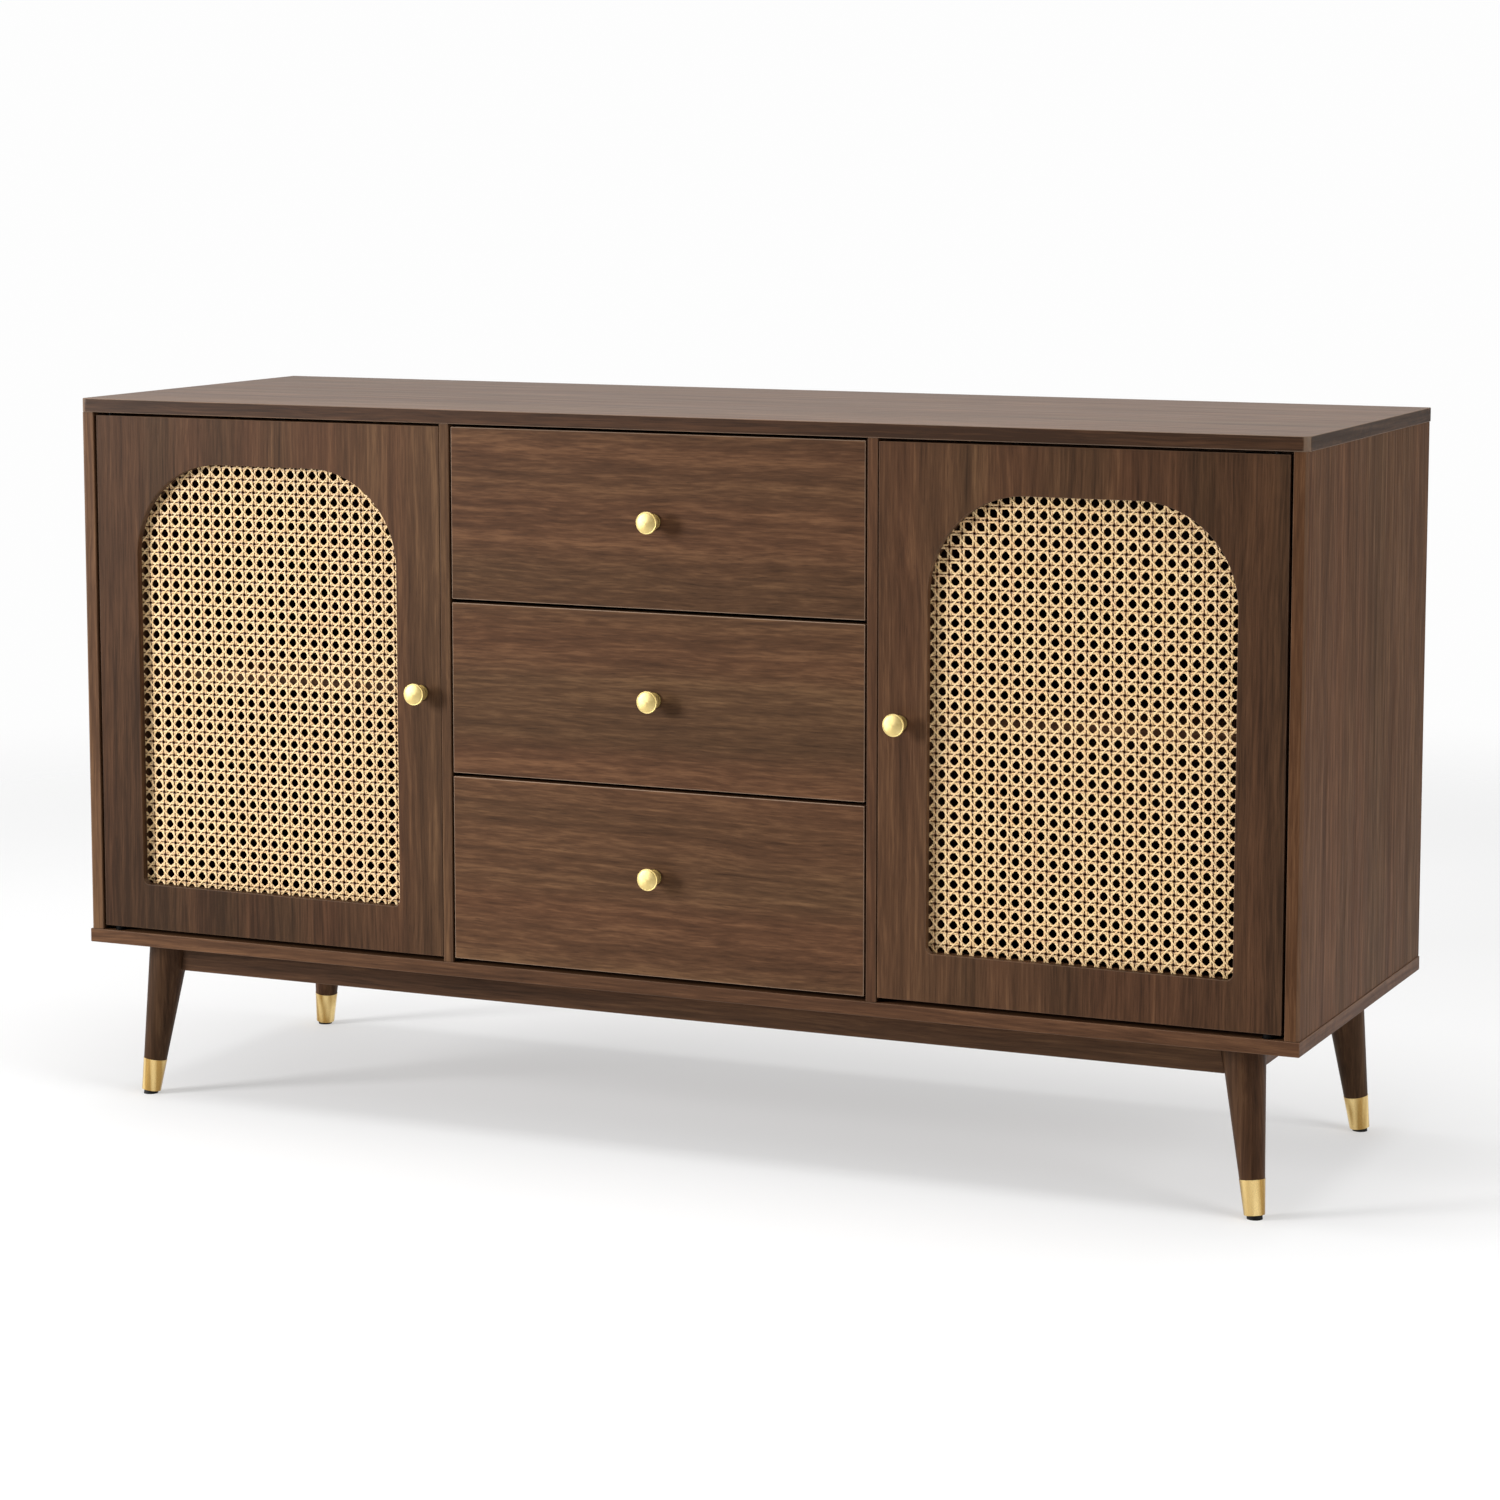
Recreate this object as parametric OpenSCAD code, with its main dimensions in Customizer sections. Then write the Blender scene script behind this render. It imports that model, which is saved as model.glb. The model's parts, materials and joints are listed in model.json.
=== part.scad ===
// Sideboard with two cane-webbed doors, three drawers and splayed round legs.
// Millimetres. The front faces -Y, the left door is at -X and +Z is up.
// The origin is on the floor, under the centre of the overall box.

/* [Cabinet] */
// Width of the cabinet
body_w = 1400; // [1300:10:1600]
// Depth of the cabinet without its knobs
body_d = 460; // [440:5:520]
// Height of the cabinet body, from the underside of its bottom panel to its top
body_h = 610; // [560:5:700]
// Thickness of the top, bottom and side panels
panel_t = 15; // [15:1:20]
// Thickness of the two dividers
divider_t = 11; // [11:1:18]
// Thickness of the back panel
back_t = 5; // [3:0.5:6]
// Clear width of the drawer bay, between the dividers
bay_w = 480; // [440:5:540]
// How far the top and bottom panels stand past the side panels
overhang = 1; // [0:0.5:3]
// Radius of the top panel's two front corners
top_corner_r = 8; // [2:0.5:12]
// Radius of the side panels' upright front edges
side_edge_r = 4; // [1:0.5:5]

/* [Doors and drawer fronts] */
// Thickness of the door panels and drawer fronts
front_t = 16; // [16:1:18]
// Gap above the fronts and at the doors' hinged edges
reveal = 3.2; // [2.4:0.1:4]
// Gap between a door's free edge and its divider
latch_gap = 0.8; // [0.6:0.1:2]
// Gap at the sides of the drawer fronts
drawer_side_gap = 2.5; // [1.5:0.1:4]
// Gap under the doors and the lowest drawer front
foot_gap = 5; // [5:0.5:8]
// Setback of the fronts behind the edge of the top panel
front_set = 2; // [1:0.5:4]
// Width of the door's border above, below and on the hinged side of its cane window
border = 50.5; // [45:0.5:70]
// Width of the door's border on the free side of its cane window
latch_border = 53.5; // [45:0.5:70]
// Radius of the window's two upper corners
arch_r = 104; // [60:1:120]
// Radius of the window's two lower corners
corner_r = 7; // [3:1:20]
// Depth of the window in front of the cane
window_depth = 9.5; // [8:0.5:10]
// Height of the two upper drawer fronts
drawer_h = 183; // [170:1:190]
// Depth of the drawer boxes behind their fronts
box_d = 350; // [300:10:370]

/* [Knobs] */
// Diameter of a knob's face
knob_d = 23.5; // [20:0.5:32]
// Projection of a knob from the front
knob_out = 20; // [19:1:30]
// Distance from a door's free edge to its knob
knob_inset = 24; // [18:0.5:30]
// Distance from a drawer front's upper edge to its knob
knob_drop = 91.5; // [70:0.5:95]

/* [Legs] */
// Height of the legs, from the floor to the bottom panel
leg_h = 176; // [140:1:220]
// Diameter of a leg at the bottom panel
leg_top_d = 46; // [36:1:50]
// Diameter of a leg at the floor
leg_foot_d = 20; // [20:1:30]
// Sideways splay of a leg over its height
splay_x = 19.5; // [0:0.5:30]
// Front-to-back splay of a leg over its height
splay_y = 16.5; // [0:0.5:24]
// Height of the brass ferrule's upper end
ferrule_top = 40; // [30:1:60]
// Height of the aprons under the bottom panel
apron_h = 34; // [25:1:60]

/* [Hidden] */

LEFT = -1;
RIGHT = 1;
FRONT = -1;
BACK = 1;
TOP = 0;
MIDDLE = 1;
BOTTOM = 2;

WALNUT = [0.36, 0.26, 0.2];
STRAW = [0.93, 0.83, 0.62];
BRASS = [0.83, 0.7, 0.42];
STEEL = [0.72, 0.73, 0.75];
BLACK = [0.08, 0.08, 0.08];
BOARD = [0.55, 0.47, 0.38];

$fn = 64;
eps = 0.01;            // Overrun of a cut past the face it opens
loose = 0.1;           // Clearance around a bolt
pivot_play = 0.05;     // Radial clearance of a door pin in its bush

// Levels
floor_z = leg_h + panel_t;
ceiling_z = leg_h + body_h - panel_t;
top_z = leg_h + body_h;
fronts_low = floor_z + foot_gap;
fronts_high = ceiling_z - reveal;

// Planes from front to back. The overall box runs from the knobs to the back edge.
knob_reach = knob_out - front_set;
front_y = (knob_reach - body_d) / 2;
back_y = front_y + body_d;
middle_y = (front_y + back_y) / 2;
face_y = front_y + front_set;
inner_y = face_y + front_t;
edge_y = face_y - 1;   // Front edges of the side panels and the dividers
back_inset = 10;       // Distance from the back edge to the back panel
back_face_y = back_y - back_inset - back_t;
groove = 6;            // Depth of a groove that holds a thin panel

// Planes from the middle to the right
side_out = body_w / 2 - overhang;
side_in = side_out - panel_t;
bay_x = bay_w / 2;
divider_x = bay_x + divider_t;
door_out = side_in - reveal;
door_in = divider_x + latch_gap;
drawer_x = bay_x - drawer_side_gap;

// Shelves
shelf_t = 15;
shelf_set = 40;        // Setback of a shelf behind the fronts
shelf_gap = 1;         // Gap at a shelf's ends and back
shelf_z = (floor_z + ceiling_z - shelf_t) / 2;
pin_r = 2.5;
pin_in = 8;            // Length of a shelf pin inside the panel
pin_out = 8;           // Length of a shelf pin under the shelf
pin_front = 75;        // Distance from the fronts to the front shelf pins
pin_back = 60;         // Distance from the back panel to the rear shelf pins
pin_ys = [face_y + pin_front, back_face_y - pin_back];

// Cam fasteners, which hold the upright panels to the top and bottom panels
cam_r = 7.5;
cam_t = 9;
cam_reach = 30;        // Distance from the panel's end to the cam's centre
cam_bolt_r = 3;
cam_bolt_in = 10;      // Length of a cam bolt inside the top or bottom panel
cam_front = 60;        // Distance from the fronts to the front cams
cam_back = 40;         // Distance from the back panel to the rear cams
cam_ys = [face_y + cam_front, back_face_y - cam_back];

// Door pivots
pivot_inset = 15;      // Distance from the door's edge to its pivot
pivot_x = door_out - pivot_inset;
pivot_y = face_y + front_t / 2;
pin_r_pivot = 3;
pin_depth = 8;         // Length of a pivot pin inside its bush
bush_r = 6;
bush_depth = 10;
bush_play = 0.3;       // Gap between the lower bush's collar and the door
plate_t = 2;
plate_w = 12;
plate_ends = [12, 32]; // Reach of the pivot plate past the pin, outwards and inwards

// Door catches
strike_t = 1.2;
strike_w = 12;
strike_h = 36;
catch_drop = 60;       // Distance from a door's upper edge to the middle of its catch
catch_z = fronts_high - catch_drop;
catch_w = 14;
catch_d = 24;
catch_h = 40;
catch_gap = 0.4;
strike_x = door_in + catch_w / 2;

// Cane, and the retainer that holds it in the door's rebate
rebate = 8;            // Width of the rebate around the window
cane_t = 2.4;
cane_play = 0.5;       // Gap between the cane and the rebate's wall

// Drawer boxes
drawer_gap = 4;        // Gap between two drawer fronts
slide_w = 12;          // Width of a slide, between the divider and the drawer box
box_x = bay_x - slide_w;
box_t = 12;
box_h = 130;
box_drop = 32;         // Distance from the front's upper edge to the box's rim
sheet_t = 5;
sheet_z = 8;           // Height of the drawer bottom above the sides' lower edge

// Slides. Each rail is a channel: distance from the divider, thickness of its metal,
// reach of its flanges and half its height.
rail_l = 345;
rail_set = 2;          // Gap between the drawer front and the rails
rail_t = 1.2;
outer_rail = [0, 8.5, 22.5];
middle_rail = [3, 10, 19.5];
runner_rail = [slide_w, 5.5, 15];

// Knob profile
knob_base_r = 8.5;
knob_base_t = 2.5;
knob_neck_r = 5;
knob_rim_t = 2.5;
knob_dome = 2;         // Height of the knob's domed face
knob_flare = 4;        // Length of the flare behind the knob's rim
knob_lip = 1;          // Step from the flare out to the rim
knob_bolt_r = 2;
knob_bolt_in = 10;
bolt_head_r = 4.5;
bolt_head_t = 2.5;

// Legs and aprons
foot_x = body_w / 2 - 53;
foot_y = body_d / 2 - 35;
leg_len = norm([splay_x, splay_y, leg_h]);
ferrule_t = 1;
ferrule_proud = 0.4;
glide_t = 4;
glide_r = 8;
stem_r = 2.5;
stem_l = 12;
leg_bolt_r = 4;
leg_bolt_up = 10;      // Length of a leg bolt inside the bottom panel
leg_bolt_down = 45;    // Length of a leg bolt inside the leg
apron_t = 15;
apron_in_y = 45;       // Distance from the cabinet's edge to the front and back aprons
apron_in_x = 62;       // Distance from the cabinet's edge to the side aprons
apron_play = 0.3;      // Gap between an apron's end and its leg

// Upper edge, lower edge and box level of each drawer front
function front_high(i) = fronts_high - i * (drawer_h + drawer_gap);
function front_low(i) = i == BOTTOM ? fronts_low : front_high(i) - drawer_h;
function box_low(i) = front_high(i) - box_drop - box_h;
function slide_z(i) = box_low(i) + box_h / 2;

// Radius of a leg at distance s from the floor, along its axis
function leg_r(s) = (leg_foot_d + (leg_top_d - leg_foot_d) * s / leg_len) / 2;

module box(low, high) {
    translate(low)
        cube(high - low);
}

module on_side(side) {
    mirror([side == LEFT ? 1 : 0, 0, 0])
        children();
}

// Box whose two upright front edges are rounded. A radius of 0 leaves the left edge square.
module rounded_slab(low, high, left_r, right_r) {
    r = max(left_r, right_r);
    translate([0, 0, low[2]])
        linear_extrude(high[2] - low[2]) {
            translate([low[0], low[1] + r])
                square([high[0] - low[0], high[1] - low[1] - r]);
            translate([low[0] + left_r, low[1]])
                square([high[0] - low[0] - left_r - right_r, r + eps]);
            if (left_r > 0)
                translate([low[0] + left_r, low[1] + left_r])
                    circle(r = left_r);
            translate([high[0] - right_r, low[1] + right_r])
                circle(r = right_r);
        }
}

// Cylinder along Y, from the point towards +Y
module rod_y(p, r, l) {
    translate(p)
        rotate([-90, 0, 0])
            cylinder(r = r, h = l);
}

// Cylinder along X, from the point towards +X
module rod_x(p, r, l) {
    translate(p)
        rotate([0, 90, 0])
            cylinder(r = r, h = l);
}

// ---- Holes that several panels share ----

// Bolts from the upright panels into the top or bottom panel; dir is 1 at the top
module cam_bolt_holes(z, dir) {
    for (side = [LEFT, RIGHT], x = [side_in + panel_t / 2, bay_x + divider_t / 2], y = cam_ys)
        translate([side * x, y, z])
            mirror([0, 0, dir < 0 ? 1 : 0])
                translate([0, 0, -eps])
                    cylinder(r = cam_bolt_r + loose, h = cam_bolt_in + loose + eps);
}

// Cam and bolt holes in an upright panel whose bored face is at x, with the panel's middle at mid_x
module cam_holes(x, mid_x, dir) {
    for (y = cam_ys, high = [false, true]) {
        edge = high ? ceiling_z : floor_z;
        cam_z = high ? edge - cam_reach : edge + cam_reach;
        rod_x([dir > 0 ? x - eps : x - cam_t, y, cam_z], cam_r, cam_t + eps);
        translate([mid_x, y, min(edge, cam_z)])
            translate([0, 0, -eps])
                cylinder(r = cam_bolt_r + loose, h = cam_reach + 2 * eps);
    }
}

module pin_holes(x, dir) {
    for (y = pin_ys)
        rod_x([dir > 0 ? x - eps : x - pin_in, y, shelf_z - pin_r], pin_r, pin_in + eps);
}

module bush_holes(z, dir) {
    for (side = [LEFT, RIGHT])
        translate([side * pivot_x, pivot_y, dir > 0 ? z - eps : z - bush_depth])
            cylinder(r = bush_r, h = bush_depth + eps);
}

// ---- Cabinet ----

module back_groove() {
    box([-side_in - groove, back_face_y, floor_z - groove], [side_in + groove, back_face_y + back_t,
        ceiling_z + groove]);
}

module top_panel() {
    color(WALNUT)
        difference() {
            rounded_slab([-body_w / 2, front_y, ceiling_z], [body_w / 2, back_y, top_z],
                top_corner_r, top_corner_r);
            back_groove();
            cam_bolt_holes(ceiling_z, 1);
            bush_holes(ceiling_z, 1);
        }
}

module bottom_panel() {
    color(WALNUT)
        difference() {
            box([-body_w / 2, front_y, leg_h], [body_w / 2, back_y, floor_z]);
            back_groove();
            cam_bolt_holes(floor_z, -1);
            bush_holes(floor_z, -1);
            for (sx = [LEFT, RIGHT], sy = [FRONT, BACK])
                at_leg(sx, sy)
                    leg_bolt(loose);
        }
}

module side_panel(side) {
    color(WALNUT)
        on_side(side)
            difference() {
                rounded_slab([side_in, edge_y, floor_z], [side_out, back_y, ceiling_z],
                    0, side_edge_r);
                back_groove();
                cam_holes(side_in, side_in + panel_t / 2, 1);
                pin_holes(side_in, 1);
            }
}

module divider(side) {
    color(WALNUT)
        on_side(side)
            difference() {
                box([bay_x, edge_y, floor_z], [divider_x, back_face_y, ceiling_z]);
                cam_holes(divider_x, bay_x + divider_t / 2, -1);
                pin_holes(divider_x, -1);
            }
}

module back_panel() {
    color(BOARD)
        back_groove();
}

module shelf(side) {
    color(WALNUT)
        on_side(side)
            box([divider_x + shelf_gap, face_y + shelf_set, shelf_z],
                [side_in - shelf_gap, back_face_y - shelf_gap, shelf_z + shelf_t]);
}

module shelf_pins() {
    color(STEEL)
        for (side = [LEFT, RIGHT], y = pin_ys)
            on_side(side) {
                rod_x([divider_x - pin_in, y, shelf_z - pin_r], pin_r, pin_in + pin_out);
                rod_x([side_in - pin_out, y, shelf_z - pin_r], pin_r, pin_in + pin_out);
            }
}

// One cam and its bolt; x is the cam's low face, mid_x the panel's middle, dir 1 at the top
module cam_fastener(x, mid_x, y, dir) {
    edge = dir > 0 ? ceiling_z : floor_z;
    rod_x([x, y, edge - dir * cam_reach], cam_r, cam_t);
    translate([mid_x, y, edge])
        mirror([0, 0, dir < 0 ? 1 : 0])
            translate([0, 0, cam_r + loose - cam_reach])
                cylinder(r = cam_bolt_r, h = cam_reach - cam_r - loose + cam_bolt_in);
}

module cam_fasteners() {
    color(STEEL)
        for (side = [LEFT, RIGHT], y = cam_ys, dir = [-1, 1])
            on_side(side) {
                cam_fastener(side_in, side_in + panel_t / 2, y, dir);
                cam_fastener(divider_x - cam_t, bay_x + divider_t / 2, y, dir);
            }
}

// ---- Legs and aprons ----

// Places its children on a leg's axis, with the floor at its foot as the origin
module at_leg(sx, sy) {
    translate([sx * foot_x, middle_y + sy * foot_y, 0])
        rotate([asin(sy * splay_y / leg_len), atan2(-sx * splay_x, leg_h), 0])
            children();
}

module leg_cone(from, to, grow = 0) {
    translate([0, 0, from])
        cylinder(r1 = leg_r(from) + grow, r2 = leg_r(to) + grow, h = to - from);
}

module leg_bolt(grow) {
    translate([0, 0, leg_len - leg_bolt_down - grow])
        cylinder(r = leg_bolt_r + grow, h = leg_bolt_down + leg_bolt_up + 2 * grow);
}

module glide_stem() {
    translate([0, 0, glide_t - eps])
        cylinder(r = stem_r, h = stem_l + eps);
}

module leg(sx, sy) {
    color(WALNUT)
        difference() {
            at_leg(sx, sy)
                difference() {
                    union() {
                        leg_cone(ferrule_top, leg_len + leg_top_d / 4);
                        leg_cone(glide_t + ferrule_t, ferrule_top + eps, -ferrule_t);
                    }
                    leg_bolt(loose);
                    glide_stem();
                }
            box([-body_w / 2, front_y, leg_h], [body_w / 2, back_y, leg_h + leg_top_d]);
        }
}

module leg_bolts() {
    color(STEEL)
        for (sx = [LEFT, RIGHT], sy = [FRONT, BACK])
            at_leg(sx, sy)
                leg_bolt(0);
}

module leg_ferrules() {
    color(BRASS)
        for (sx = [LEFT, RIGHT], sy = [FRONT, BACK])
            at_leg(sx, sy)
                difference() {
                    leg_cone(glide_t, ferrule_top, ferrule_proud);
                    leg_cone(glide_t + ferrule_t, ferrule_top + eps, -ferrule_t);
                    glide_stem();
                }
}

module leg_glides() {
    color(BLACK)
        difference() {
            for (sx = [LEFT, RIGHT], sy = [FRONT, BACK])
                at_leg(sx, sy) {
                    translate([0, 0, -glide_t])
                        cylinder(r = glide_r, h = 2 * glide_t);
                    glide_stem();
                }
            box([-body_w / 2, front_y, -2 * glide_t], [body_w / 2, back_y, 0]);
        }
}

// The legs' outer shape, which the aprons' ends are coped to
module leg_notches() {
    for (sx = [LEFT, RIGHT], sy = [FRONT, BACK])
        at_leg(sx, sy)
            leg_cone(ferrule_top, leg_len + leg_top_d / 4, apron_play);
}

module long_apron(sy) {
    outer_y = middle_y + sy * (body_d / 2 - apron_in_y);
    end_x = foot_x - splay_x;
    color(WALNUT)
        difference() {
            box([-end_x, min(outer_y, outer_y - sy * apron_t), leg_h - apron_h],
                [end_x, max(outer_y, outer_y - sy * apron_t), leg_h]);
            leg_notches();
        }
}

module side_apron(side) {
    end_y = foot_y - splay_y;
    color(WALNUT)
        on_side(side)
            difference() {
                box([body_w / 2 - apron_in_x - apron_t, middle_y - end_y, leg_h - apron_h],
                    [body_w / 2 - apron_in_x, middle_y + end_y, leg_h]);
                leg_notches();
            }
}

module centre_rail() {
    inner = body_d / 2 - apron_in_y - apron_t;
    color(WALNUT)
        box([-apron_t / 2, middle_y - inner, leg_h - apron_h], [apron_t / 2, middle_y + inner, leg_h]);
}

// ---- Door pivots and catches in the cabinet ----

module bush(z, h) {
    translate([0, 0, z])
        difference() {
            cylinder(r = bush_r, h = h);
            translate([0, 0, -eps])
                cylinder(r = pin_r_pivot + pivot_play, h = h + 2 * eps);
        }
}

module pivot_bushes() {
    color(STEEL)
        for (side = [LEFT, RIGHT])
            translate([side * pivot_x, pivot_y, 0]) {
                bush(ceiling_z, bush_depth);
                bush(floor_z - bush_depth, bush_depth + foot_gap - bush_play);
            }
}

module door_catches() {
    catch_y = inner_y + strike_t + catch_gap;
    color(BLACK)
        for (side = [LEFT, RIGHT])
            on_side(side)
                box([divider_x, catch_y, catch_z - catch_h / 2],
                    [divider_x + catch_w, catch_y + catch_d, catch_z + catch_h / 2]);
}

// ---- Doors, drawn for the right side ----

// Outline of the door's window in X and Z, grown by a margin on every side
module window_2d(grow) {
    low_x = door_in + latch_border - grow;
    high_x = door_out - border + grow;
    low_z = fronts_low + border - grow;
    high_z = fronts_high - border + grow;
    arch = arch_r + grow;
    corner = corner_r + grow;
    translate([low_x, low_z + corner])
        square([high_x - low_x, high_z - low_z - arch - corner]);
    translate([low_x + arch, low_z + corner])
        square([high_x - low_x - 2 * arch, high_z - low_z - corner]);
    translate([low_x + corner, low_z])
        square([high_x - low_x - 2 * corner, corner + eps]);
    for (x = [low_x + arch, high_x - arch])
        translate([x, high_z - arch])
            circle(r = arch, $fn = 128);
    for (x = [low_x + corner, high_x - corner])
        translate([x, low_z + corner])
            circle(r = corner);
}

// The window's outline as a slab from one Y plane to another
module window_slab(grow, from_y, to_y) {
    translate([0, to_y, 0])
        rotate([90, 0, 0])
            linear_extrude(to_y - from_y)
                window_2d(grow);
}

module pivot_plate(low_z, high_z) {
    box([pivot_x - plate_ends[1], pivot_y - plate_w / 2, low_z],
        [pivot_x + plate_ends[0], pivot_y + plate_w / 2, high_z]);
}

module door_panel(side) {
    color(WALNUT)
        on_side(side)
            difference() {
                box([door_in, face_y, fronts_low], [door_out, inner_y, fronts_high]);
                window_slab(0, face_y - eps, inner_y);
                window_slab(rebate, face_y + window_depth, inner_y + eps);
                pivot_plate(fronts_low - eps, fronts_low + plate_t);
                pivot_plate(fronts_high - plate_t, fronts_high + eps);
                knob_hole(door_in + knob_inset, (fronts_low + fronts_high) / 2);
            }
}

module cane(side) {
    color(STRAW)
        on_side(side)
            window_slab(rebate - cane_play, face_y + window_depth, face_y + window_depth + cane_t);
}

module cane_retainer(side) {
    color(WALNUT)
        on_side(side)
            difference() {
                window_slab(rebate - cane_play, face_y + window_depth + cane_t, inner_y);
                window_slab(0, face_y, inner_y + eps);
            }
}

module door_pivots(side) {
    color(STEEL)
        on_side(side) {
            pivot_plate(fronts_high - plate_t, fronts_high);
            translate([pivot_x, pivot_y, fronts_high - eps])
                cylinder(r = pin_r_pivot, h = reveal + pin_depth + eps);
            pivot_plate(fronts_low, fronts_low + plate_t);
            translate([pivot_x, pivot_y, floor_z - pin_depth])
                cylinder(r = pin_r_pivot, h = foot_gap + pin_depth + eps);
        }
}

module strike_plate(side) {
    color(STEEL)
        on_side(side)
            box([strike_x - strike_w / 2, inner_y, catch_z - strike_h / 2],
                [strike_x + strike_w / 2, inner_y + strike_t, catch_z + strike_h / 2]);
}

// ---- Knobs ----

module knob_hole(x, z) {
    rod_y([x, face_y - eps, z], knob_bolt_r + loose, front_t + 2 * eps);
}

// Knob with its bolt through the front, on an axis at x and z
module knob(x, z) {
    dome_r = (pow(knob_d / 2, 2) + pow(knob_dome, 2)) / (2 * knob_dome);
    rim = knob_out - knob_dome - knob_rim_t;
    translate([x, face_y, z])
        rotate([90, 0, 0]) {
            difference() {
                union() {
                    cylinder(r = knob_base_r, h = knob_base_t);
                    cylinder(r = knob_neck_r, h = rim);
                    translate([0, 0, rim - knob_flare])
                        cylinder(r1 = knob_neck_r, r2 = knob_d / 2 - knob_lip, h = knob_flare);
                    translate([0, 0, rim])
                        cylinder(r = knob_d / 2, h = knob_rim_t);
                    intersection() {
                        translate([0, 0, knob_out - dome_r])
                            sphere(r = dome_r);
                        translate([0, 0, rim + knob_rim_t / 2])
                            cylinder(r = knob_d / 2, h = knob_out);
                    }
                }
                translate([0, 0, -eps])
                    cylinder(r = knob_bolt_r + loose, h = knob_bolt_in + loose + eps);
            }
            translate([0, 0, -front_t - eps])
                cylinder(r = knob_bolt_r, h = front_t + knob_bolt_in + eps);
            translate([0, 0, -front_t - bolt_head_t])
                cylinder(r = bolt_head_r, h = bolt_head_t);
        }
}

module door_knob(side) {
    color(BRASS)
        knob(side * (door_in + knob_inset), (fronts_low + fronts_high) / 2);
}

module drawer_knob(i) {
    color(BRASS)
        knob(0, front_high(i) - knob_drop);
}

// ---- Drawers ----

// The thin drawer bottom, which also cuts its grooves
module drawer_sheet(i) {
    box([-box_x + box_t - groove, inner_y - groove, box_low(i) + sheet_z],
        [box_x - box_t + groove, inner_y + box_d - box_t + groove, box_low(i) + sheet_z + sheet_t]);
}

module drawer_front(i) {
    color(WALNUT)
        difference() {
            box([-drawer_x, face_y, front_low(i)], [drawer_x, inner_y, front_high(i)]);
            drawer_sheet(i);
            knob_hole(0, front_high(i) - knob_drop);
        }
}

module drawer_sides(i) {
    color(BOARD)
        for (side = [LEFT, RIGHT])
            on_side(side)
                difference() {
                    box([box_x - box_t, inner_y, box_low(i)], [box_x, inner_y + box_d, box_low(i) + box_h]);
                    drawer_sheet(i);
                }
}

module drawer_back(i) {
    color(BOARD)
        difference() {
            box([-box_x + box_t, inner_y + box_d - box_t, box_low(i)],
                [box_x - box_t, inner_y + box_d, box_low(i) + box_h]);
            drawer_sheet(i);
        }
}

module drawer_bottom(i) {
    color(BOARD)
        drawer_sheet(i);
}

// A pair of channels. Each rail lists its web's distance from the divider, its flanges' reach
// and half its height.
module rail_pair(i, rail) {
    web = rail[0];
    tip = rail[1];
    half = rail[2];
    back_of_web = web < tip ? web : web - rail_t;
    y0 = inner_y + rail_set;
    for (side = [LEFT, RIGHT])
        on_side(side)
            translate([bay_x, y0, slide_z(i)])
                mirror([1, 0, 0]) {
                    box([back_of_web, 0, -half], [back_of_web + rail_t, rail_l, half]);
                    for (z = [-half, half - rail_t])
                        box([min(web, tip), 0, z], [max(web, tip), rail_l, z + rail_t]);
                }
}

module slide_outer_rails() {
    color(STEEL)
        for (i = [TOP, MIDDLE, BOTTOM])
            rail_pair(i, outer_rail);
}

module slide_rails(i) {
    color(STEEL)
        rail_pair(i, middle_rail);
}

module drawer_runners(i) {
    color(STEEL)
        rail_pair(i, runner_rail);
}

top_panel();
bottom_panel();
side_panel(LEFT);  // left_side_panel
side_panel(RIGHT);  // right_side_panel
divider(LEFT);  // left_divider
divider(RIGHT);  // right_divider
back_panel();
shelf(LEFT);  // left_shelf
shelf(RIGHT);  // right_shelf
shelf_pins();
cam_fasteners();
long_apron(FRONT);  // front_apron
long_apron(BACK);  // back_apron
side_apron(LEFT);  // left_apron
side_apron(RIGHT);  // right_apron
centre_rail();
leg(LEFT, FRONT);  // front_left_leg
leg(RIGHT, FRONT);  // front_right_leg
leg(LEFT, BACK);  // back_left_leg
leg(RIGHT, BACK);  // back_right_leg
leg_bolts();
leg_ferrules();
leg_glides();
pivot_bushes();
door_catches();
slide_outer_rails();
door_panel(LEFT);  // left_door_panel
cane(LEFT);  // left_cane
cane_retainer(LEFT);  // left_cane_retainer
door_knob(LEFT);  // left_door_knob
door_pivots(LEFT);  // left_door_pivots
strike_plate(LEFT);  // left_strike_plate
door_panel(RIGHT);  // right_door_panel
cane(RIGHT);  // right_cane
cane_retainer(RIGHT);  // right_cane_retainer
door_knob(RIGHT);  // right_door_knob
door_pivots(RIGHT);  // right_door_pivots
strike_plate(RIGHT);  // right_strike_plate
drawer_front(TOP);  // top_drawer_front
drawer_sides(TOP);  // top_drawer_sides
drawer_back(TOP);  // top_drawer_back
drawer_bottom(TOP);  // top_drawer_bottom
drawer_knob(TOP);  // top_drawer_knob
drawer_runners(TOP);  // top_drawer_runners
drawer_front(MIDDLE);  // middle_drawer_front
drawer_sides(MIDDLE);  // middle_drawer_sides
drawer_back(MIDDLE);  // middle_drawer_back
drawer_bottom(MIDDLE);  // middle_drawer_bottom
drawer_knob(MIDDLE);  // middle_drawer_knob
drawer_runners(MIDDLE);  // middle_drawer_runners
drawer_front(BOTTOM);  // bottom_drawer_front
drawer_sides(BOTTOM);  // bottom_drawer_sides
drawer_back(BOTTOM);  // bottom_drawer_back
drawer_bottom(BOTTOM);  // bottom_drawer_bottom
drawer_knob(BOTTOM);  // bottom_drawer_knob
drawer_runners(BOTTOM);  // bottom_drawer_runners
slide_rails(TOP);  // top_slide_rails
slide_rails(MIDDLE);  // middle_slide_rails
slide_rails(BOTTOM);  // bottom_slide_rails
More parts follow.
